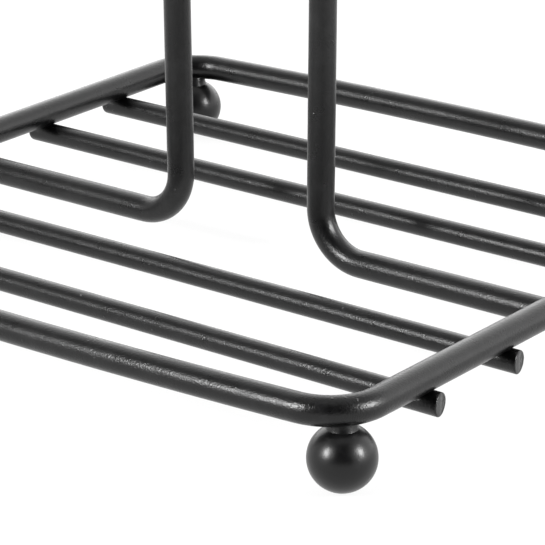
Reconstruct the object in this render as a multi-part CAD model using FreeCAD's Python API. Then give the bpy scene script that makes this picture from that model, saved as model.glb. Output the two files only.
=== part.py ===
"""Two-sided plate display stand of welded steel wire.

Millimetres. X runs along the cross rods, Y from the front to the back, Z up. The origin is
on the surface that the stand rests on, under the middle of the base.
"""
import FreeCAD, Part
import math
import os

# Wire and ball stock, each with its coat of powder
COAT = 0.1
WIRE = 5.2 + 2 * COAT     # base ring and mast
ROD = 4.2 + 2 * COAT      # cross rods, tier arms and tier ties
FOOT_BALL = 12.0 + 2 * COAT
TIP_BALL = 8.0 + 2 * COAT

# Base ring, on its centre line
RING_HALF_X = 75.4        # to the two straight sides
RING_HALF_Y = 74.8        # to the middle of the two bowed sides
BOW_RADIUS = 1000.0       # the front and back sides bow gently outwards
CORNER_RADIUS = 9.8
BUTT_X = 42.0             # place of the ring's butt weld along its back side
BUTT_GAP = 1.2            # space between the two wire ends, filled by that weld

# Cross rods under the ring
ROD_INNER_Y = 24.4
ROD_OUTER_Y = 48.6
END_OVERHANG = 1.0        # cut ends stand this far past the ring's outer edge
END_LEAN = 10.0           # degrees, sheared ends lean, with the front side the longer one
END_CHAMFER = 0.3

# Welds
BITE = 0.4                # how far two crossing wires sink into each other
NUGGET = 3.2              # width of the fused spot between two crossing wires
NUGGET_HEIGHT = 1.4
FOOT_STANDOFF = 0.15      # weld metal between a foot ball and the ring
FOOT_COLLAR = 5.6         # width of the weld collar on a foot ball
FOOT_COLLAR_TOP = 1.2     # how far the collar reaches up the ring's wire
FOOT_COLLAR_DROP = 1.5    # how far the collar reaches down the ball
BUTT_BEAD = 5.8

# Feet: distance of each ball's centre inside the ring's centre line, X then Y
FOOT_INSETS = {
    "front_left": (2.9, 2.9),
    "front_right": (3.05, 3.65),
    "back_left": (3.9, 2.4),
    "back_right": (2.9, 2.9),
}

# Mast, one wire bent from foot to foot
MAST_HALF = 17.3          # leg centre line from the mast's middle, at the ring's height
MAST_OFF_CENTRE = -0.8
MAST_SPLAY = 0.6          # degrees, each leg leans outwards
MAST_BEND = 9.5
MAST_TOP = 400.0          # top of the arch over the floor

# Upper tier
TIER_HEIGHT = 228.0       # centre line of the arms
ARM_REACH = 32.0          # from the mast to the start of each hook's bend
HOOK_BEND = 9.0
HOOK_TURN = 72.0          # degrees
HOOK_TIP = 11.0           # straight length after the bend
TIE_Y = 26.0
TIE_OVERHANG = 3.0        # tie ends past the arms' centre lines
TIP_SINK = 1.5            # how far the wire goes into its ball

RING_Z = FOOT_BALL + FOOT_STANDOFF + WIRE / 2
ROD_Z = RING_Z - (WIRE + ROD) / 2 + BITE
MAST_FOOT_Z = RING_Z - WIRE + BITE
END_X = RING_HALF_X + WIRE / 2 + END_OVERHANG
SPLAY = math.radians(MAST_SPLAY)
LEAN = math.radians(END_LEAN)

V = FreeCAD.Vector


def arc_edge(start, middle, end):
    return Part.Arc(start, middle, end).toShape()


def line_edge(start, end):
    return Part.LineSegment(start, end).toShape()


def sweep(edges, diameter):
    """A round wire of this diameter along tangent edges."""
    path = Part.Wire(edges)
    start = edges[0].valueAt(edges[0].FirstParameter)
    along = edges[0].tangentAt(edges[0].FirstParameter)
    profile = Part.Wire([Part.makeCircle(diameter / 2, start, along)])
    return path.makePipeShell([profile], True, False)


def shear_ends(wire, start, end, diameter):
    """Give a wire that ends along X its leaning cut ends, each with a small rounded edge.

    start and end are on the centre line, as far out as the longer front side reaches.
    """
    front = start.y - diameter / 2
    near, far = front - diameter, front + 2 * diameter
    corners = []
    for y, side_x in ((near, -1), (near, 1), (far, 1), (far, -1)):
        reach = end.x if side_x > 0 else start.x
        corners.append(V(reach - side_x * (y - front) * math.tan(LEAN), y, 0))
    block = Part.Face(Part.makePolygon(corners + corners[:1])).extrude(V(0, 0, MAST_TOP + WIRE))
    wire = wire.common(block)
    rims = [edge for edge in wire.Edges if edge.Curve.TypeId == "Part::GeomEllipse"]
    return solid_of(wire.makeChamfer(END_CHAMFER, rims))


def straight_rod(start, end, diameter):
    run = end - start
    rod = Part.makeCylinder(diameter / 2, run.Length, start, run)
    return shear_ends(rod, start, end, diameter)


def nugget(centre, axis):
    """The fused spot between two crossing wires, centred on the touching point."""
    half = V(axis).normalize() * (NUGGET_HEIGHT / 2)
    return Part.makeCylinder(NUGGET / 2, NUGGET_HEIGHT, centre - half, axis)


def cut_all(shape, tools):
    for tool in tools:
        shape = shape.cut(tool)
    return shape.removeSplitter()


def solid_of(shape):
    """The one solid inside a result."""
    assert len(shape.Solids) == 1, len(shape.Solids)
    return shape.Solids[0]


def corner_geometry():
    """Centre of the back right corner bend, and where it meets the bowed side."""
    bow_centre = V(0, RING_HALF_Y - BOW_RADIUS, RING_Z)
    corner_x = RING_HALF_X - CORNER_RADIUS
    reach = BOW_RADIUS - CORNER_RADIUS
    corner_y = bow_centre.y + math.sqrt(reach ** 2 - corner_x ** 2)
    corner = V(corner_x, corner_y, RING_Z)
    outward = (corner - bow_centre).normalize()
    return corner, corner + outward * CORNER_RADIUS


def mirrored(point, side_x, side_y):
    return V(point.x * side_x, point.y * side_y, point.z)


def corner_edges(side_x, side_y):
    """The corner bend in this quadrant, from the bowed side to the straight side."""
    centre, on_bow = corner_geometry()
    on_side = centre + V(CORNER_RADIUS, 0, 0)
    middle = centre + ((on_bow + on_side) * 0.5 - centre).normalize() * CORNER_RADIUS
    return [mirrored(point, side_x, side_y) for point in (on_bow, middle, on_side)]


def bow_point(x, side_y):
    depth = BOW_RADIUS - math.sqrt(BOW_RADIUS ** 2 - x ** 2)
    return V(x, side_y * (RING_HALF_Y - depth), RING_Z)


def base_ring():
    """The ring as one wire, starting and ending at its butt weld in the back side."""
    back_right, front_right = corner_edges(1, 1), corner_edges(1, -1)
    back_left, front_left = corner_edges(-1, 1), corner_edges(-1, -1)
    before, after = BUTT_X - BUTT_GAP / 2, BUTT_X + BUTT_GAP / 2
    edges = [
        arc_edge(bow_point(after, 1), bow_point((after + back_right[0].x) / 2, 1), back_right[0]),
        arc_edge(*back_right),
        line_edge(back_right[2], front_right[2]),
        arc_edge(*reversed(front_right)),
        arc_edge(front_right[0], bow_point(0, -1), front_left[0]),
        arc_edge(*front_left),
        line_edge(front_left[2], back_left[2]),
        arc_edge(*reversed(back_left)),
        arc_edge(back_left[0], bow_point(0, 1), bow_point(before, 1)),
    ]
    return sweep(edges, WIRE)


def butt_weld():
    """The bead that closes the ring, a short barrel between the two wire ends."""
    start, end = bow_point(BUTT_X - BUTT_GAP / 2, 1), bow_point(BUTT_X + BUTT_GAP / 2, 1)
    run = end - start
    bead = Part.makeCylinder(BUTT_BEAD / 2, run.Length, start, run)
    rims = [edge for edge in bead.Edges if edge.Curve.TypeId == "Part::GeomCircle"]
    return bead.makeFillet((BUTT_BEAD - WIRE) / 2, rims)


def foot_centre(corner):
    side_y, side_x = [1 if word in ("back", "right") else -1 for word in corner.split("_")]
    inset_x, inset_y = FOOT_INSETS[corner]
    end_y = RING_HALF_Y - (bow_point(0, 1) - bow_point(RING_HALF_X, 1)).y
    return V(side_x * (RING_HALF_X - inset_x), side_y * (end_y - inset_y), FOOT_BALL / 2)


def foot_collar(centre, ball, ring):
    """Weld metal that fills the space between a foot ball and the ring over it."""
    bottom = FOOT_BALL - FOOT_COLLAR_DROP
    top = FOOT_BALL + FOOT_STANDOFF + FOOT_COLLAR_TOP
    collar = Part.makeCylinder(FOOT_COLLAR / 2, top - bottom, V(centre.x, centre.y, bottom))
    pieces = collar.cut(ball).cut(ring).Solids
    return max(pieces, key=lambda piece: piece.Volume)


def mast_leg_x(side, z):
    """Centre line of a mast leg at this height."""
    return MAST_OFF_CENTRE + side * (MAST_HALF + (z - RING_Z) * math.tan(SPLAY))


def mast_foot_bend(side):
    """Foot end, then the bend's lowest, middle and highest points, for one leg."""
    centre_z = MAST_FOOT_Z + MAST_BEND
    centre = V(mast_leg_x(side, centre_z) + side * MAST_BEND / math.cos(SPLAY), 0, centre_z)
    half_turn = (math.pi / 2 - SPLAY) / 2
    points = [V(side * END_X, 0, MAST_FOOT_Z)]
    for turn in (math.pi / 2, half_turn, -SPLAY):
        points.append(centre + V(-side * math.cos(turn), 0, -math.sin(turn)) * MAST_BEND)
    return points


def mast_wire():
    """Foot, bend, leg, arch, leg, bend and foot in one wire."""
    arch_z = RING_Z + (MAST_TOP - WIRE / 2 - RING_Z - MAST_HALF * math.cos(SPLAY)) / (1 + math.sin(SPLAY))
    arch = V(MAST_OFF_CENTRE, 0, arch_z)
    arch_radius = MAST_TOP - WIRE / 2 - arch_z
    shoulder = {
        side: arch + V(side * math.cos(SPLAY), 0, -math.sin(SPLAY)) * arch_radius
        for side in (-1, 1)
    }
    left, right = mast_foot_bend(-1), mast_foot_bend(1)
    edges = [
        line_edge(left[0], left[1]),
        arc_edge(left[1], left[2], left[3]),
        line_edge(left[3], shoulder[-1]),
        arc_edge(shoulder[-1], arch + V(0, 0, arch_radius), shoulder[1]),
        line_edge(shoulder[1], right[3]),
        arc_edge(right[3], right[2], right[1]),
        line_edge(right[1], right[0]),
    ]
    return shear_ends(sweep(edges, WIRE), left[0], right[0], WIRE)


def arm_x(side):
    return mast_leg_x(side, TIER_HEIGHT) + side * ((WIRE + ROD) / 2 - BITE)


def hook_points(side, end):
    """From an arm's straight run out to its tip, at the front (end -1) or back (end 1)."""
    x = arm_x(side)
    turn = math.radians(HOOK_TURN)
    centre = V(x, end * ARM_REACH, TIER_HEIGHT + HOOK_BEND)

    def on_bend(angle):
        return centre + V(0, end * math.sin(angle), -math.cos(angle)) * HOOK_BEND

    last = on_bend(turn)
    tip = last + V(0, end * math.cos(turn), math.sin(turn)) * HOOK_TIP
    return [on_bend(0), on_bend(turn / 2), last, tip]


def tier_arm(side):
    front, back = hook_points(side, -1), hook_points(side, 1)
    edges = [
        line_edge(front[3], front[2]),
        arc_edge(front[2], front[1], front[0]),
        line_edge(front[0], back[0]),
        arc_edge(back[0], back[1], back[2]),
        line_edge(back[2], back[3]),
    ]
    return sweep(edges, ROD)


def tip_ball(side, end):
    points = hook_points(side, end)
    along = (points[3] - points[2]).normalize()
    return Part.makeSphere(TIP_BALL / 2, points[3] + along * (TIP_BALL / 2 - TIP_SINK))


def build():
    """Every node by name."""
    nodes = {}
    up, across = V(0, 0, 1), V(1, 0, 0)
    ring, mast = base_ring(), mast_wire()

    # Cross rods and their welds to the ring
    rods = {
        "front_rod_outer": -ROD_OUTER_Y,
        "front_rod_inner": -ROD_INNER_Y,
        "back_rod_inner": ROD_INNER_Y,
        "back_rod_outer": ROD_OUTER_Y,
    }
    rod_touch_z = RING_Z - WIRE / 2 + BITE / 2
    ring_nuggets = []
    for name, y in rods.items():
        welds = [nugget(V(side * RING_HALF_X, y, rod_touch_z), up) for side in (-1, 1)]
        rod = straight_rod(V(-END_X, y, ROD_Z), V(END_X, y, ROD_Z), ROD)
        nodes[name] = solid_of(cut_all(rod, welds))
        nodes[name + "_welds"] = Part.makeCompound(welds)
        ring_nuggets += welds

    # Mast feet under the ring
    mast_welds = {
        side: nugget(V(side * RING_HALF_X, 0, rod_touch_z), up) for side in (-1, 1)
    }
    nodes["mast_foot_weld_left"] = mast_welds[-1]
    nodes["mast_foot_weld_right"] = mast_welds[1]
    ring_nuggets += mast_welds.values()

    # Ball feet
    for corner in FOOT_INSETS:
        centre = foot_centre(corner)
        ball = Part.makeSphere(FOOT_BALL / 2, centre)
        nodes["foot_" + corner] = ball
        nodes["foot_weld_" + corner] = foot_collar(centre, ball, ring)

    nodes["base_ring"] = solid_of(cut_all(ring, ring_nuggets))
    nodes["base_ring_butt_weld"] = butt_weld()

    # Upper tier: two hooked arms on the mast legs, tied under at the front and back
    arms = {side: tier_arm(side) for side in (-1, 1)}
    arm_welds = {}
    for side in (-1, 1):
        touch_x = mast_leg_x(side, TIER_HEIGHT) + side * (WIRE - BITE) / 2
        arm_welds[side] = nugget(V(touch_x, 0, TIER_HEIGHT), across)
    tie_z = TIER_HEIGHT - ROD + BITE
    tie_touch_z = TIER_HEIGHT - (ROD - BITE) / 2
    tie_welds = []
    for name, end in (("front", -1), ("back", 1)):
        welds = [nugget(V(arm_x(side), end * TIE_Y, tie_touch_z), up) for side in (-1, 1)]
        starts = [V(arm_x(side) + side * TIE_OVERHANG, end * TIE_Y, tie_z) for side in (-1, 1)]
        tie = straight_rod(starts[0], starts[1], ROD)
        nodes["tier_tie_" + name] = solid_of(cut_all(tie, welds))
        nodes["tier_tie_welds_" + name] = Part.makeCompound(welds)
        tie_welds += welds
    for word, side in (("left", -1), ("right", 1)):
        nodes["tier_arm_" + word] = solid_of(cut_all(arms[side], tie_welds + [arm_welds[side]]))
        nodes["tier_arm_weld_" + word] = arm_welds[side]
        for end_word, end in (("front", -1), ("back", 1)):
            ball = tip_ball(side, end).cut(arms[side])
            nodes["tier_tip_%s_%s" % (end_word, word)] = solid_of(ball)
    mast_tools = list(mast_welds.values()) + list(arm_welds.values())
    nodes["mast_wire"] = solid_of(cut_all(mast, mast_tools))
    return nodes


os.makedirs("parts", exist_ok=True)
for node, shape in build().items():
    assert shape.isValid(), node
    shape.exportStep("parts/%s.step" % node)
    print(node, round(shape.Volume, 1), shape.BoundBox)
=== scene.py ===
import math

import bmesh
import bpy
import numpy as np
from mathutils import Matrix, Vector, noise


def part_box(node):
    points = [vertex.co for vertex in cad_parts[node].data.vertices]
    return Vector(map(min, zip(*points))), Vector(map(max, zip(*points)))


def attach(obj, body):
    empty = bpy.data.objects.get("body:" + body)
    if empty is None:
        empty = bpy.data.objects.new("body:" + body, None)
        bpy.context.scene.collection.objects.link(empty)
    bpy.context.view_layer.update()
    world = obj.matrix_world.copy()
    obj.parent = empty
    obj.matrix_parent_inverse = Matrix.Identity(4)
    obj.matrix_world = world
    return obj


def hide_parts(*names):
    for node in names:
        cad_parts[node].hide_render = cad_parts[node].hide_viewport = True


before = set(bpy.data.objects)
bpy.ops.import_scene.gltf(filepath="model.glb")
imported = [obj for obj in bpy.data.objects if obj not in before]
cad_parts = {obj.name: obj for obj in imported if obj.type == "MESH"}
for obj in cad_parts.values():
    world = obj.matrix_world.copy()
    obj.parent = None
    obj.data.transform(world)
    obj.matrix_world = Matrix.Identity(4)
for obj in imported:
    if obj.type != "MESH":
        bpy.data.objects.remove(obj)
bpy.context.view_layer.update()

MM = 0.001

# Camera
CAMERA_PLACE = Vector((0.3544, -0.4509, 0.2160))
CAMERA_YAW = math.radians(-37.79)
CAMERA_PITCH = math.radians(20.42)
CAMERA_ROLL = math.radians(0.20)
CAMERA_LENS = 205.0
CAMERA_SENSOR = 36.0

# Sizes that the frame's boxes don't give
BOW_RADIUS = 1000.0 * MM
CORNER_RADIUS = 9.8 * MM
BUTT_GAP = 1.2 * MM
MAST_HALF = 17.3 * MM
MAST_OFF_CENTRE = -0.8 * MM
MAST_SPLAY = math.radians(0.6)
MAST_BEND = 9.5 * MM
ARM_REACH = 32.0 * MM
HOOK_BEND = 9.0 * MM
HOOK_TURN = math.radians(72.0)
HOOK_TIP = 11.0 * MM
BITE = 0.4 * MM
END_LEAN = math.radians(10.0)

# Mesh fineness
WIRE_SIDES = 56
ARC_STEP = 0.5 * MM
LINE_STEP = 1.0 * MM
BEND_SMOOTHING = 3
RIM_RINGS = 6
CUT_FACE_RINGS = (0.76, 0.64, 0.52, 0.4, 0.28, 0.16)
BEAD_SIDES = 48
BEAD_RINGS = 12
BUTT_RINGS = 12
NECK_SIDES = 64
NECK_RINGS = 18
BALL_SUBDIVISIONS = 6

# Unevenness of the coated wire and balls, as shares of the radius
WAVE = 0.012
BEND_FLATTENING = 0.018
END_SQUASH = 0.07
BALL_WAVE = 0.005

# Sizes of lumps: on wires, on the broken face of a cut end, and on weld metal
LONG_WAVE = 14 * MM
SHORT_WAVE = 4 * MM
BREAK_LUMP = 0.8 * MM
BREAK_CRUMB = 0.3 * MM
WELD_LUMP = 1.3 * MM
BEAD_LUMP = 1.6 * MM
WELD_CRUMB = 0.5 * MM

# Sheared ends: squashed on their lower back side, and broken and grainy towards the back
END_ROUNDING = 0.32 * MM
END_LENGTH = 2.5 * MM
BREAK_DEPTH = 0.10 * MM
BREAK_GRAIN = 0.05 * MM
BREAK_SHARPNESS = 1.6
SMOOTH_GRAIN_SHARE = 0.4
PRESSED_BACK, PRESSED_DOWN = 0.8, 0.6

# Squeezed-out metal between two crossing wires
BEAD_REACH = 1.72 * MM
BEAD_UNEVENNESS = 0.22 * MM
BEAD_WAIST_DEPTH = 0.42 * MM
BEAD_FLARE = 2.2
BEAD_SINK = 0.06 * MM

# Butt weld of the ring
BUTT_HALF = 1.1 * MM
BUTT_EDGE_SINK = 0.02 * MM
BUTT_CROWN_SINK = 0.05 * MM
BUTT_UNEVENNESS = 0.03 * MM

# Neck of weld metal on a foot ball, from NECK_BOTTOM under the ball's top to NECK_TOP over it
NECK_BOTTOM = 0.95 * MM
NECK_TOP = 1.10 * MM
NECK_RADIUS = 2.84 * MM
NECK_TAPER = 0.50 * MM
NECK_FLARE = 0.08 * MM
NECK_CAP_RADIUS = 2.1 * MM
NECK_CAP_RISE = 0.05 * MM
NECK_UNEVENNESS = 0.05 * MM

# Powder coat
COAT_DARK = (0.0008, 0.0008, 0.0009)
COAT_LIGHT = (0.0050, 0.0050, 0.0052)
WELD_COAT_LIGHT = (0.0040, 0.0040, 0.0042)
COAT_IOR = 1.42
WIRE_ROUGHNESS = 0.29
WIRE_PEEL = 0.012 * MM
WIRE_GRAIN = 0.052 * MM
BALL_ROUGHNESS = 0.31
BALL_PEEL = 0.022 * MM
BALL_GRAIN = 0.006 * MM
NIB_HEIGHT = 0.14 * MM
PIT_DEPTH = 0.06 * MM
WELD_LUMP_HEIGHT = 0.035 * MM
CRATER_DEPTH = 0.05 * MM

# Studio
SOFTBOX_DISTANCE = 1.5
SOFTBOX_HEIGHT = 0.46
FLOOR_RADIUS = 12.0
FLOOR_GREY = 0.12
FLOOR_GLOW = 0.88
BRIGHTEST = 3.0

X, Y, Z = Vector((1, 0, 0)), Vector((0, 1, 0)), Vector((0, 0, 1))


# ---------------------------------------------------------------- mesh helpers

def new_piece(name, vertices, faces, material, node, slot):
    """A smooth-shaded mesh that stands for a CAD node and rides with it."""
    mesh = bpy.data.meshes.new(name)
    mesh.from_pydata([tuple(v) for v in vertices], [], faces)
    bm = bmesh.new()
    bm.from_mesh(mesh)
    bmesh.ops.recalc_face_normals(bm, faces=bm.faces)
    for face in bm.faces:
        face.smooth = True
    bm.to_mesh(mesh)
    bm.free()
    mesh.materials.append(material)
    piece = bpy.data.objects.new(name, mesh)
    bpy.context.scene.collection.objects.link(piece)
    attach(piece, "root")
    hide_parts(node)
    return piece


def wobble(point, size, seed):
    """Smooth noise from -1 to 1 whose lumps are about this size; another seed gives others."""
    return noise.noise(Vector(point) / size + Vector((seed, 2 * seed, -seed)))


def bridge(faces, first, second, sides):
    """Quads between two rings of vertices, given by their first indices."""
    for i in range(sides):
        j = (i + 1) % sides
        faces.append((first + i, first + j, second + j, second + i))


def fan(faces, ring, centre, sides):
    """Triangles between a ring of vertices and one in its middle."""
    for i in range(sides):
        faces.append((ring + i, ring + (i + 1) % sides, centre))


class Path:
    """A flat route of lines and arcs: (u, v) points, and 1 or 0 for each in a bend or not."""

    def __init__(self):
        self.points = []
        self.bends = []

    def line(self, start, end):
        count = max(2, math.ceil((Vector(end) - Vector(start)).length / LINE_STEP))
        for k in range(count):
            self.points.append(Vector(start).lerp(Vector(end), k / count))
            self.bends.append(0.0)
        return self

    def arc(self, centre, radius, start, end, bent=1.0):
        """bent is 0 for an arc too wide to flatten the wire."""
        count = max(4, math.ceil(abs(end - start) * radius / (ARC_STEP if bent else LINE_STEP)))
        for k in range(count):
            angle = start + (end - start) * k / count
            self.points.append(Vector(centre) + Vector((math.cos(angle), math.sin(angle))) * radius)
            self.bends.append(bent)
        return self

    def close(self, end):
        """Add the last point of the route."""
        self.points.append(Vector(end))
        self.bends.append(0.0)
        return self


def smoothed(values, reach):
    """Each value averaged with this many neighbours on both sides."""
    kernel = np.ones(2 * reach + 1) / (2 * reach + 1)
    return np.convolve(np.pad(values, reach, mode="edge"), kernel, mode="valid")


def ease(value):
    """0 up to 0, 1 from 1, and smooth between."""
    value = min(max(value, 0.0), 1.0)
    return value * value * (3 - 2 * value)


def wire_mesh(path, radius, origin, along_u, along_v, seed, lean=0.0):
    """Vertices and faces of a coated wire with softly rounded ends.

    lean is the angle of sheared ends, whose front side, towards -Y, is the longer one. Without
    it the ends are square.
    """
    across = along_u.cross(along_v)
    places = [origin + along_u * p.x + along_v * p.y for p in path.points]
    bends = smoothed(np.array(path.bends), BEND_SMOOTHING)
    count = len(places)
    slope = math.tan(lean)
    vertices, faces = [], []

    def add_ring(place, tangent, facing, size, flattening=0.0, end_share=0.0, relief=0.0):
        """One ring of vertices.

        end_share is 1 at an end and 0 well away from it, and relief is how much of a sheared
        face's unevenness the ring gets.
        """
        side = across.cross(tangent).normalized()
        for i in range(WIRE_SIDES):
            angle = 2 * math.pi * i / WIRE_SIDES
            spoke = side * (math.cos(angle) * (1 - flattening)) + across * math.sin(angle)
            skin = place + spoke * radius
            wave = 0.5 + 0.3 * wobble(skin, LONG_WAVE, seed) + 0.2 * wobble(skin, SHORT_WAVE, seed)
            toward_back = spoke.dot(Y)
            pressed = max(0.0, PRESSED_BACK * toward_back - PRESSED_DOWN * spoke.z) ** 3
            squash = END_SQUASH * pressed * end_share if lean else 0.0
            offset = spoke * radius * size * (1 - WAVE * wave - squash)
            outward = -slope * offset.dot(Y) * end_share
            if relief:
                broken = ease(0.5 + BREAK_SHARPNESS * toward_back * size)
                spot = place + offset
                grain = wobble(spot, BREAK_LUMP, seed) + 0.5 * wobble(spot, BREAK_CRUMB, seed)
                grain *= SMOOTH_GRAIN_SHARE + (1 - SMOOTH_GRAIN_SHARE) * broken
                outward -= relief * (BREAK_DEPTH * broken + BREAK_GRAIN * grain)
            vertices.append(place + offset + tangent * facing * outward)

    def tangent_at(k):
        return (places[min(k + 1, count - 1)] - places[max(k - 1, 0)]).normalized()

    def add_end(place, tangent, facing):
        """Rings round the rim of a cut end and in to its middle."""
        start = place - tangent * facing * END_ROUNDING
        for k in range(1, RIM_RINGS + 1):
            turn = math.pi / 2 * k / RIM_RINGS
            size = 1 - END_ROUNDING / radius * (1 - math.cos(turn))
            out = tangent * facing * END_ROUNDING * math.sin(turn)
            relief = k / (2 * RIM_RINGS) if lean else 0.0
            add_ring(start + out, tangent, facing, size, end_share=1.0, relief=relief)
        for size in CUT_FACE_RINGS:
            add_ring(place, tangent, facing, size, end_share=1.0, relief=1.0 if lean else 0.0)
        vertices.append(place - tangent * facing * BREAK_DEPTH * (0.5 if lean else 0.0))

    for k, place in enumerate(places):
        at_end = (k == count - 1) - (k == 0)
        facing = 1 if k > count / 2 else -1
        end_share = ease(1 - min(k, count - 1 - k) * LINE_STEP / END_LENGTH)
        start = place - tangent_at(k) * at_end * END_ROUNDING
        add_ring(start, tangent_at(k), facing, 1.0, BEND_FLATTENING * bends[k], end_share)
    for k in range(count - 1):
        bridge(faces, k * WIRE_SIDES, (k + 1) * WIRE_SIDES, WIRE_SIDES)
    for end, facing in ((0, -1), (count - 1, 1)):
        start = len(vertices)
        add_end(places[end], tangent_at(end), facing)
        rings = (len(vertices) - 1 - start) // WIRE_SIDES
        bridge(faces, end * WIRE_SIDES, start, WIRE_SIDES)
        for k in range(rings - 1):
            bridge(faces, start + k * WIRE_SIDES, start + (k + 1) * WIRE_SIDES, WIRE_SIDES)
        fan(faces, start + (rings - 1) * WIRE_SIDES, len(vertices) - 1, WIRE_SIDES)
    return vertices, faces


def lathe(profile, sides, place, axis, seed, roughness):
    """Vertices and faces of a closed turned shape, made uneven like weld metal.

    profile holds (radius, height) pairs from the bottom to the top; the ends are closed.
    """
    turn = axis.to_track_quat("Z", "Y").to_matrix()
    vertices, faces = [], []
    for radius, height in profile:
        for i in range(sides):
            angle = 2 * math.pi * i / sides
            flat = Vector((math.cos(angle), math.sin(angle), 0))
            spoke = flat * radius
            lump = wobble(place + spoke, WELD_LUMP, seed) + 0.5 * wobble(spoke, WELD_CRUMB, seed)
            vertices.append(place + turn @ (flat * (radius + roughness * lump) + Z * height))
    for k in range(len(profile) - 1):
        bridge(faces, k * sides, (k + 1) * sides, sides)
    for k in (0, len(profile) - 1):
        vertices.append(place + turn @ (Z * profile[k][1]))
        fan(faces, k * sides, len(vertices) - 1, sides)
    return vertices, faces


def crossing_bead(place, upward, lower_axis, lower_radius, upper_radius, seed):
    """The squeezed-out metal between two wires that cross at right angles.

    upward points from the lower wire to the upper one; the bead's outline follows both.
    """
    upper_axis = upward.cross(lower_axis)
    vertices, faces = [], []

    def lower_top(y):
        return math.sqrt(max(lower_radius ** 2 - y ** 2, 0)) - lower_radius + BITE / 2

    def upper_bottom(x):
        return upper_radius - math.sqrt(max(upper_radius ** 2 - x ** 2, 0)) - BITE / 2

    for k in range(BEAD_RINGS + 1):
        share = k / BEAD_RINGS
        for i in range(BEAD_SIDES):
            angle = 2 * math.pi * i / BEAD_SIDES
            unit = Vector((math.cos(angle), math.sin(angle), 0))
            lump = wobble(place + unit * 2 * MM, BEAD_LUMP, seed)
            lump += 0.6 * wobble(place + unit * MM, WELD_CRUMB, seed)
            reach = BEAD_REACH + BEAD_UNEVENNESS * lump
            waist = reach - BEAD_WAIST_DEPTH
            size = waist + (reach - waist) * abs(2 * share - 1) ** BEAD_FLARE
            x, y = unit.x * reach, unit.y * reach
            low, high = lower_top(y) - BEAD_SINK, upper_bottom(x) + BEAD_SINK
            height = low + (high - low) * share
            vertices.append(
                place + lower_axis * unit.x * size + upper_axis * unit.y * size + upward * height
            )
    for k in range(BEAD_RINGS):
        bridge(faces, k * BEAD_SIDES, (k + 1) * BEAD_SIDES, BEAD_SIDES)
    for k in (0, BEAD_RINGS):
        vertices.append(place)
        fan(faces, k * BEAD_SIDES, len(vertices) - 1, BEAD_SIDES)
    return vertices, faces


def joined(parts):
    """Several (vertices, faces) lists as one."""
    vertices, faces = [], []
    for part_vertices, part_faces in parts:
        start = len(vertices)
        vertices += part_vertices
        faces += [tuple(start + i for i in face) for face in part_faces]
    return vertices, faces


def ball_mesh(place, radius, seed):
    """Vertices and faces of a coated steel ball, very slightly uneven."""
    bm = bmesh.new()
    bmesh.ops.create_icosphere(bm, subdivisions=BALL_SUBDIVISIONS, radius=radius)
    for vertex in bm.verts:
        unit = vertex.co.normalized()
        wave = 0.5 + 0.35 * wobble(unit, 0.7, seed) + 0.15 * wobble(unit, 0.2, seed)
        vertex.co = unit * radius * (1 - BALL_WAVE * wave)
    vertices = [place + v.co for v in bm.verts]
    faces = [tuple(v.index for v in face.verts) for face in bm.faces]
    bm.free()
    return vertices, faces


# ------------------------------------------------------------------- materials

class Nodes:
    """Short forms for building a material's nodes."""

    def __init__(self, name):
        self.material = bpy.data.materials.new(name)
        self.material.use_nodes = True
        self.tree = self.material.node_tree
        self.shader = self.tree.nodes["Principled BSDF"]
        self.coord = self.add("ShaderNodeTexCoord").outputs["Object"]

    def add(self, kind, **settings):
        node = self.tree.nodes.new(kind)
        for key, value in settings.items():
            setattr(node, key, value)
        return node

    def link(self, source, target):
        self.tree.links.new(source, target)

    def noise(self, scale, detail, roughness):
        """Cloudy noise from 0 to 1; scale is in lumps to the metre."""
        node = self.add("ShaderNodeTexNoise")
        node.inputs["Scale"].default_value = scale
        node.inputs["Detail"].default_value = detail
        node.inputs["Roughness"].default_value = roughness
        self.link(self.coord, node.inputs["Vector"])
        return node.outputs["Fac"]

    def remap(self, source, low, high, to_low, to_high):
        """The source's span from low to high, stretched onto another one."""
        node = self.add("ShaderNodeMapRange")
        limits = {"From Min": low, "From Max": high, "To Min": to_low, "To Max": to_high}
        for key, value in limits.items():
            node.inputs[key].default_value = value
        self.link(source, node.inputs["Value"])
        return node.outputs["Result"]

    def calculate(self, operation, first, second):
        node = self.add("ShaderNodeMath", operation=operation)
        for socket, value in zip(node.inputs, (first, second)):
            if isinstance(value, (int, float)):
                socket.default_value = value
            else:
                self.link(value, socket)
        return node.outputs["Value"]

    def blend(self, factor, dark, light):
        """From the dark colour at 0 to the light one at 1."""
        node = self.add("ShaderNodeMix", data_type="RGBA")
        node.inputs["A"].default_value = (*dark, 1)
        node.inputs["B"].default_value = (*light, 1)
        self.link(factor, node.inputs["Factor"])
        return node.outputs["Result"]

    def specks(self, spacing, size, keep):
        """Rare small dots: 1 in the middle of each, 0 elsewhere."""
        cells = self.add("ShaderNodeTexVoronoi")
        cells.inputs["Scale"].default_value = 1 / spacing
        self.link(self.coord, cells.inputs["Vector"])
        dot = self.remap(cells.outputs["Distance"], size / spacing, 0.0, 0.0, 1.0)
        chance = self.add("ShaderNodeSeparateColor")
        self.link(cells.outputs["Color"], chance.inputs[0])
        kept = self.calculate("LESS_THAN", chance.outputs[0], keep)
        return self.calculate("MULTIPLY", dot, kept)

    def bump(self, height, distance, under=None, invert=False):
        """Relief of this depth, laid over another; inverted, it goes inwards."""
        node = self.add("ShaderNodeBump", invert=invert)
        node.inputs["Distance"].default_value = distance
        node.inputs["Strength"].default_value = 1.0
        self.link(height, node.inputs["Height"])
        if under is not None:
            self.link(under, node.inputs["Normal"])
        return node.outputs["Normal"]


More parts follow.
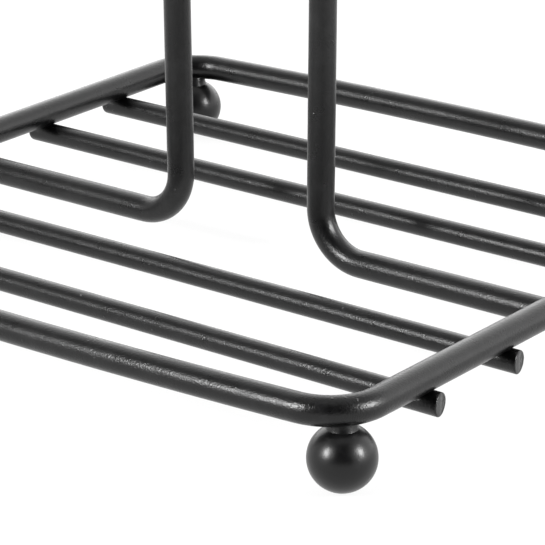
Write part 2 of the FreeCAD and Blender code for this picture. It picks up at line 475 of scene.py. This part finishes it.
def powder_coat(name, roughness, peel, grain):
    """Semi-gloss black powder coat: dusty film, orange peel, fine grain, dust nibs, pinholes."""
    n = Nodes(name)
    film = n.remap(n.noise(240, 5, 0.65), 0.50, 0.70, 0, 1)
    n.link(n.blend(film, COAT_DARK, COAT_LIGHT), n.shader.inputs["Base Color"])
    patch = n.noise(260, 4, 0.65)
    n.link(n.remap(patch, 0.3, 0.7, roughness - 0.03, roughness + 0.04), n.shader.inputs["Roughness"])
    coarse = n.bump(n.noise(700, 2, 0.5), peel)
    fine = n.bump(n.noise(3300, 1, 0.5), grain, under=coarse)
    dusty = n.remap(n.noise(70, 1, 0.5), 0.54, 0.62, 0, 1)
    dust = n.calculate("MULTIPLY", n.specks(1.5 * MM, 0.26 * MM, 0.45), dusty)
    nibs = n.bump(dust, NIB_HEIGHT, under=fine)
    pits = n.bump(n.specks(7.0 * MM, 0.22 * MM, 0.25), PIT_DEPTH, under=nibs, invert=True)
    n.link(pits, n.shader.inputs["Normal"])
    n.shader.inputs["IOR"].default_value = COAT_IOR
    return n.material


def weld_coat(name):
    """The same coat over uneven weld metal, with small craters."""
    n = Nodes(name)
    cloud = n.noise(500, 4, 0.7)
    n.link(n.blend(cloud, COAT_DARK, WELD_COAT_LIGHT), n.shader.inputs["Base Color"])
    n.link(n.remap(cloud, 0.3, 0.7, 0.25, 0.38), n.shader.inputs["Roughness"])
    lumps = n.bump(n.noise(1600, 3, 0.6), WELD_LUMP_HEIGHT)
    craters = n.bump(n.specks(1.1 * MM, 0.22 * MM, 0.4), CRATER_DEPTH, under=lumps)
    n.link(craters, n.shader.inputs["Normal"])
    n.shader.inputs["IOR"].default_value = COAT_IOR
    return n.material


wire_coat = powder_coat("wire_coat", WIRE_ROUGHNESS, WIRE_PEEL, WIRE_GRAIN)
rod_coat = powder_coat("rod_coat", WIRE_ROUGHNESS, WIRE_PEEL, WIRE_GRAIN)
ball_coat = powder_coat("ball_coat", BALL_ROUGHNESS, BALL_PEEL, BALL_GRAIN)
bead_coat = weld_coat("bead_coat")


# ------------------------------------------------------------------------ base

def middle(node):
    """The middle of a CAD node's box."""
    low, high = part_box(node)
    return (low + high) / 2


ring_low, ring_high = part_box("base_ring")
WIRE = ring_high.z - ring_low.z
RING_Z = middle("base_ring").z
RING_HALF_X = ring_high.x - WIRE / 2
RING_HALF_Y = ring_high.y - WIRE / 2
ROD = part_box("front_rod_outer")[1].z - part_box("front_rod_outer")[0].z


def bow_y(x):
    """Distance of a bowed side's centre line from the middle of the base."""
    return RING_HALF_Y - BOW_RADIUS + math.sqrt(BOW_RADIUS ** 2 - x ** 2)


def build_base_ring():
    corner_x = RING_HALF_X - CORNER_RADIUS
    reach = BOW_RADIUS - CORNER_RADIUS
    corner_y = RING_HALF_Y - BOW_RADIUS + math.sqrt(reach ** 2 - corner_x ** 2)
    bow_centre = RING_HALF_Y - BOW_RADIUS
    lean = math.asin(corner_x / reach)
    butt_x = middle("base_ring_butt_weld").x
    before, after = butt_x - BUTT_GAP / 2, butt_x + BUTT_GAP / 2
    up = math.pi / 2
    path = Path()
    path.arc((0, bow_centre), BOW_RADIUS, up - math.asin(after / BOW_RADIUS), up - lean, bent=0.0)
    path.arc((corner_x, corner_y), CORNER_RADIUS, up - lean, 0)
    path.line((RING_HALF_X, corner_y), (RING_HALF_X, -corner_y))
    path.arc((corner_x, -corner_y), CORNER_RADIUS, 0, -up + lean)
    path.arc((0, -bow_centre), BOW_RADIUS, -up + lean, -up - lean, bent=0.0)
    path.arc((-corner_x, -corner_y), CORNER_RADIUS, -up - lean, -math.pi)
    path.line((-RING_HALF_X, -corner_y), (-RING_HALF_X, corner_y))
    path.arc((-corner_x, corner_y), CORNER_RADIUS, math.pi, up + lean)
    path.arc((0, bow_centre), BOW_RADIUS, up + lean, up - math.asin(before / BOW_RADIUS), bent=0.0)
    path.close((before, bow_y(before)))
    mesh = wire_mesh(path, WIRE / 2, Z * RING_Z, X, Y, seed=1.0)
    new_piece("coated_base_ring", *mesh, wire_coat, "base_ring", "coated_wire")


def build_butt_weld():
    low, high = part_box("base_ring_butt_weld")
    edge = WIRE / 2 - BUTT_EDGE_SINK
    crown = (high.z - low.z) / 2 - BUTT_CROWN_SINK
    profile = []
    for k in range(BUTT_RINGS + 1):
        share = 2 * k / BUTT_RINGS - 1
        profile.append((edge + (crown - edge) * (1 - share ** 2), BUTT_HALF * share))
    place = middle("base_ring_butt_weld")
    along = Vector((math.sqrt(BOW_RADIUS ** 2 - place.x ** 2), -place.x, 0)).normalized()
    mesh = lathe(profile, WIRE_SIDES, place, along, 3.0, BUTT_UNEVENNESS)
    new_piece("coated_butt_weld", *mesh, bead_coat, "base_ring_butt_weld", "coated_weld")


def straight_piece(node, seed):
    """A straight wire along X with two sheared ends."""
    low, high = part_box(node)
    centre, radius = (low + high) / 2, (high.z - low.z) / 2
    setback = radius * math.tan(END_LEAN)
    start, end = (low.x + setback, 0), (high.x - setback, 0)
    path = Path().line(start, end).close(end)
    mesh = wire_mesh(path, radius, Vector((0, centre.y, centre.z)), X, Y, seed, END_LEAN)
    new_piece("coated_" + node, *mesh, rod_coat, node, "coated_rod")


def build_cross_rods():
    for k, node in enumerate(("front_rod_outer", "front_rod_inner", "back_rod_inner", "back_rod_outer")):
        straight_piece(node, 10.0 + k)
        centre = middle(node)
        touch_z = centre.z + ROD / 2 - BITE / 2
        beads = []
        for side in (-1, 1):
            place = Vector((side * RING_HALF_X, centre.y, touch_z))
            beads.append(crossing_bead(place, Z, X, ROD / 2, WIRE / 2, 20.0 + k + side))
        new_piece("coated_%s_welds" % node, *joined(beads), bead_coat, node + "_welds", "coated_weld")


def foot_collar_profile(ball_radius):
    """(radius, height over the ball's centre) of the neck of weld metal, a little wider below."""
    bottom, top = ball_radius - NECK_BOTTOM, ball_radius + NECK_TOP
    profile = []
    for k in range(NECK_RINGS + 1):
        share = k / NECK_RINGS
        radius = NECK_RADIUS - NECK_TAPER * share + NECK_FLARE * (1 - share) ** 6
        profile.append((radius, bottom + (top - bottom) * share))
    profile.append((NECK_CAP_RADIUS, top + NECK_CAP_RISE))
    return profile


def build_feet():
    for k, corner in enumerate(("front_left", "front_right", "back_left", "back_right")):
        node = "foot_" + corner
        low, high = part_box(node)
        centre, radius = (low + high) / 2, (high.z - low.z) / 2
        new_piece("coated_" + node, *ball_mesh(centre, radius, 30.0 + k), ball_coat, node, "coated_ball")
        mesh = lathe(foot_collar_profile(radius), NECK_SIDES, centre, Z, 34.0 + k, NECK_UNEVENNESS)
        new_piece("coated_foot_weld_" + corner, *mesh, bead_coat, "foot_weld_" + corner, "coated_weld")


# ------------------------------------------------------------------------ mast

def leg_x(side, z):
    """Centre line of a mast leg at this height."""
    return MAST_OFF_CENTRE + side * (MAST_HALF + (z - RING_Z) * math.tan(MAST_SPLAY))


def build_mast():
    low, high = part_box("mast_wire")
    foot_z = low.z + WIRE / 2
    bend_z = foot_z + MAST_BEND
    top_z = high.z - WIRE / 2
    arch_z = RING_Z + (top_z - RING_Z - MAST_HALF * math.cos(MAST_SPLAY)) / (1 + math.sin(MAST_SPLAY))
    arch_radius = top_z - arch_z
    bend_x = {s: leg_x(s, bend_z) + s * MAST_BEND / math.cos(MAST_SPLAY) for s in (-1, 1)}
    cosine, sine = math.cos(MAST_SPLAY), math.sin(MAST_SPLAY)
    shoulder_z = arch_z - sine * arch_radius
    shoulder = {s: (MAST_OFF_CENTRE + s * cosine * arch_radius, shoulder_z) for s in (-1, 1)}
    leg_foot = {s: (bend_x[s] - s * cosine * MAST_BEND, bend_z + sine * MAST_BEND) for s in (-1, 1)}
    quarter = math.pi / 2
    path = Path()
    setback = WIRE / 2 * math.tan(END_LEAN)
    path.line((low.x + setback, foot_z), (bend_x[-1], foot_z))
    path.arc((bend_x[-1], bend_z), MAST_BEND, -quarter, MAST_SPLAY)
    path.line(leg_foot[-1], shoulder[-1])
    path.arc((MAST_OFF_CENTRE, arch_z), arch_radius, math.pi + MAST_SPLAY, -MAST_SPLAY)
    path.line(shoulder[1], leg_foot[1])
    path.arc((bend_x[1], bend_z), MAST_BEND, math.pi - MAST_SPLAY, 3 * quarter)
    path.line((bend_x[1], foot_z), (high.x - setback, foot_z))
    path.close((high.x - setback, foot_z))
    mesh = wire_mesh(path, WIRE / 2, Vector((0, 0, 0)), X, Z, 2.0, END_LEAN)
    new_piece("coated_mast", *mesh, wire_coat, "mast_wire", "coated_wire")
    touch_z = foot_z + WIRE / 2 - BITE / 2
    for word, side in (("left", -1), ("right", 1)):
        place = Vector((side * RING_HALF_X, 0, touch_z))
        bead = crossing_bead(place, Z, X, WIRE / 2, WIRE / 2, 40.0 + side)
        new_piece("coated_mast_foot_weld_" + word, *bead, bead_coat, "mast_foot_weld_" + word, "coated_weld")


# ------------------------------------------------------------------ upper tier

def build_tier():
    for word, side in (("left", -1), ("right", 1)):
        node = "tier_arm_" + word
        centre_x = middle(node).x
        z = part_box(node)[0].z + ROD / 2
        turn_end = HOOK_TURN - math.pi / 2
        tip, last = {}, {}
        for end in (-1, 1):
            last[end] = Vector((
                end * (ARM_REACH + HOOK_BEND * math.sin(HOOK_TURN)),
                z + HOOK_BEND * (1 - math.cos(HOOK_TURN)),
            ))
            tip[end] = last[end] + Vector((end * math.cos(HOOK_TURN), math.sin(HOOK_TURN))) * HOOK_TIP
        path = Path()
        path.line(tip[-1], last[-1])
        path.arc((-ARM_REACH, z + HOOK_BEND), HOOK_BEND, -math.pi - turn_end, -math.pi / 2)
        path.line((-ARM_REACH, z), (ARM_REACH, z))
        path.arc((ARM_REACH, z + HOOK_BEND), HOOK_BEND, -math.pi / 2, turn_end)
        path.line(last[1], tip[1])
        path.close(tip[1])
        mesh = wire_mesh(path, ROD / 2, X * centre_x, Y, Z, seed=50.0 + side)
        new_piece("coated_" + node, *mesh, rod_coat, node, "coated_rod")
        touch = Vector((centre_x - side * (ROD / 2 - BITE / 2), 0, z))
        bead = crossing_bead(touch, X * -side, Y, ROD / 2, WIRE / 2, 52.0 + side)
        new_piece("coated_tier_arm_weld_" + word, *bead, bead_coat, "tier_arm_weld_" + word, "coated_weld")
        for end_word, end in (("front", -1), ("back", 1)):
            node = "tier_tip_%s_%s" % (end_word, word)
            low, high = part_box(node)
            mesh = ball_mesh((low + high) / 2, (high.x - low.x) / 2, 54.0 + side + 2 * end)
            new_piece("coated_" + node, *mesh, ball_coat, node, "coated_ball")
    for k, end_word in enumerate(("front", "back")):
        node = "tier_tie_" + end_word
        straight_piece(node, 60.0 + k)
        centre = middle(node)
        touch_z = centre.z + ROD / 2 - BITE / 2
        beads = []
        for word in ("left", "right"):
            place = Vector((middle("tier_arm_" + word).x, centre.y, touch_z))
            beads.append(crossing_bead(place, Z, X, ROD / 2, ROD / 2, 62.0 + k))
        name = "tier_tie_welds_" + end_word
        new_piece("coated_" + name, *joined(beads), bead_coat, name, "coated_weld")


# ---------------------------------------------------------------------- studio

def camera_axes():
    """Right, down and forward directions of the camera."""
    forward = Vector((
        math.sin(CAMERA_YAW) * math.cos(CAMERA_PITCH),
        math.cos(CAMERA_YAW) * math.cos(CAMERA_PITCH),
        -math.sin(CAMERA_PITCH),
    ))
    level = Vector((math.cos(CAMERA_YAW), -math.sin(CAMERA_YAW), 0))
    below = forward.cross(level)
    right = level * math.cos(CAMERA_ROLL) + below * math.sin(CAMERA_ROLL)
    down = below * math.cos(CAMERA_ROLL) - level * math.sin(CAMERA_ROLL)
    return right, down, forward


def add_camera():
    right, down, forward = camera_axes()
    data = bpy.data.cameras.new("camera")
    data.lens = CAMERA_LENS
    data.sensor_width = CAMERA_SENSOR
    data.clip_start = 0.01
    camera = bpy.data.objects.new("camera", data)
    bpy.context.scene.collection.objects.link(camera)
    turn = Matrix((right, -down, -forward)).transposed().to_4x4()
    camera.matrix_world = Matrix.Translation(CAMERA_PLACE) @ turn
    bpy.context.scene.camera = camera


def add_softbox(name, azimuth, elevation, width, power, target):
    """A soft light facing the target.

    Azimuth is 0 on the camera's side of the target and grows to the camera's right.
    """
    turn = math.radians(azimuth) - CAMERA_YAW
    rise = math.radians(elevation)
    direction = Vector((
        math.sin(turn) * math.cos(rise),
        -math.cos(turn) * math.cos(rise),
        math.sin(rise),
    ))
    data = bpy.data.lights.new(name, "AREA")
    data.shape = "RECTANGLE"
    data.size = width
    data.size_y = SOFTBOX_HEIGHT
    data.energy = power
    light = bpy.data.objects.new(name, data)
    light.visible_camera = False
    bpy.context.scene.collection.objects.link(light)
    light.location = target + direction * SOFTBOX_DISTANCE
    light.rotation_mode = "QUATERNION"
    light.rotation_quaternion = (-direction).to_track_quat("-Z", "Y")


def add_floor():
    """A pale floor without highlights that gives off most of its brightness itself."""
    mesh = bpy.data.meshes.new("floor")
    bm = bmesh.new()
    bmesh.ops.create_circle(bm, cap_ends=True, segments=96, radius=FLOOR_RADIUS)
    bm.to_mesh(mesh)
    bm.free()
    floor = bpy.data.objects.new("floor", mesh)
    bpy.context.scene.collection.objects.link(floor)
    n = Nodes("floor")
    n.shader.inputs["Base Color"].default_value = (FLOOR_GREY, FLOOR_GREY, FLOOR_GREY, 1)
    n.shader.inputs["Roughness"].default_value = 0.9
    n.shader.inputs["Specular IOR Level"].default_value = 0.0
    n.shader.inputs["Emission Color"].default_value = (1, 1, 1, 1)
    n.shader.inputs["Emission Strength"].default_value = FLOOR_GLOW
    mesh.materials.append(n.material)


def add_world():
    """A studio that is brightest behind the stand and dark around the camera.

    The sides are bright up to half height, and overhead the light is even and mild. Each
    zone's stops are (sine of the elevation, radiance).
    """
    zones = {
        "behind": ((0.0, 3.0), (0.45, 2.9), (0.75, 1.5), (0.97, 0.8)),
        "left": ((0.0, 1.1), (0.50, 1.0), (0.70, 0.3), (0.97, 0.8)),
        "right": ((0.0, 2.2), (0.50, 1.8), (0.80, 0.9), (0.97, 0.8)),
        "before": ((0.0, 0.02), (0.50, 0.01), (0.88, 0.05), (0.97, 0.8)),
    }
    world = bpy.data.worlds.new("studio")
    bpy.context.scene.world = world
    world.use_nodes = True
    tree = world.node_tree

    def add(kind, source, **settings):
        node = tree.nodes.new(kind)
        for key, value in settings.items():
            setattr(node, key, value)
        tree.links.new(source, node.inputs[0])
        return node

    direction = tree.nodes.new("ShaderNodeTexCoord").outputs["Generated"]
    turned = add("ShaderNodeVectorRotate", direction, rotation_type="Z_AXIS")
    turned.inputs["Angle"].default_value = CAMERA_YAW
    height = add("ShaderNodeSeparateXYZ", direction).outputs["Z"]
    level = add("ShaderNodeVectorMath", turned.outputs[0], operation="MULTIPLY")
    level.inputs[1].default_value = (1, 1, 0)
    bearing = add("ShaderNodeVectorMath", level.outputs[0], operation="NORMALIZE")
    bearing = add("ShaderNodeSeparateXYZ", bearing.outputs[0])
    across, away = bearing.outputs["X"], bearing.outputs["Y"]

    def zone(name):
        ramp = add("ShaderNodeValToRGB", height)
        while len(ramp.color_ramp.elements) < len(zones[name]):
            ramp.color_ramp.elements.new(0.5)
        for element, (place, radiance) in zip(ramp.color_ramp.elements, zones[name]):
            element.position = place
            element.color = (radiance / BRIGHTEST,) * 3 + (1,)
        return ramp.outputs[0]

    def blend(bearing, first, second, start, end):
        """From the first light to the second as the bearing's share rises from start to end."""
        share = add("ShaderNodeMapRange", bearing, interpolation_type="SMOOTHSTEP")
        share.inputs["From Min"].default_value = start
        share.inputs["From Max"].default_value = end
        mix = add("ShaderNodeMix", share.outputs[0], data_type="RGBA")
        tree.links.new(first, mix.inputs["A"])
        tree.links.new(second, mix.inputs["B"])
        return mix.outputs["Result"]

    beside = blend(across, zone("left"), zone("right"), -0.3, 0.3)
    near = blend(away, zone("before"), beside, -0.92, -0.45)
    light = blend(away, near, zone("behind"), 0.45, 0.9)
    tree.links.new(light, tree.nodes["Background"].inputs["Color"])
    tree.nodes["Background"].inputs["Strength"].default_value = BRIGHTEST


build_base_ring()
build_butt_weld()
build_cross_rods()
build_feet()
build_mast()
build_tier()

add_camera()
add_floor()
add_world()
near_foot = middle("foot_front_right")
add_softbox("softbox_left", azimuth=-60, elevation=26.5, width=0.24, power=28, target=near_foot)
add_softbox("softbox_right", azimuth=68, elevation=24.5, width=0.26, power=25, target=near_foot)
bpy.context.scene.view_settings.view_transform = "Standard"
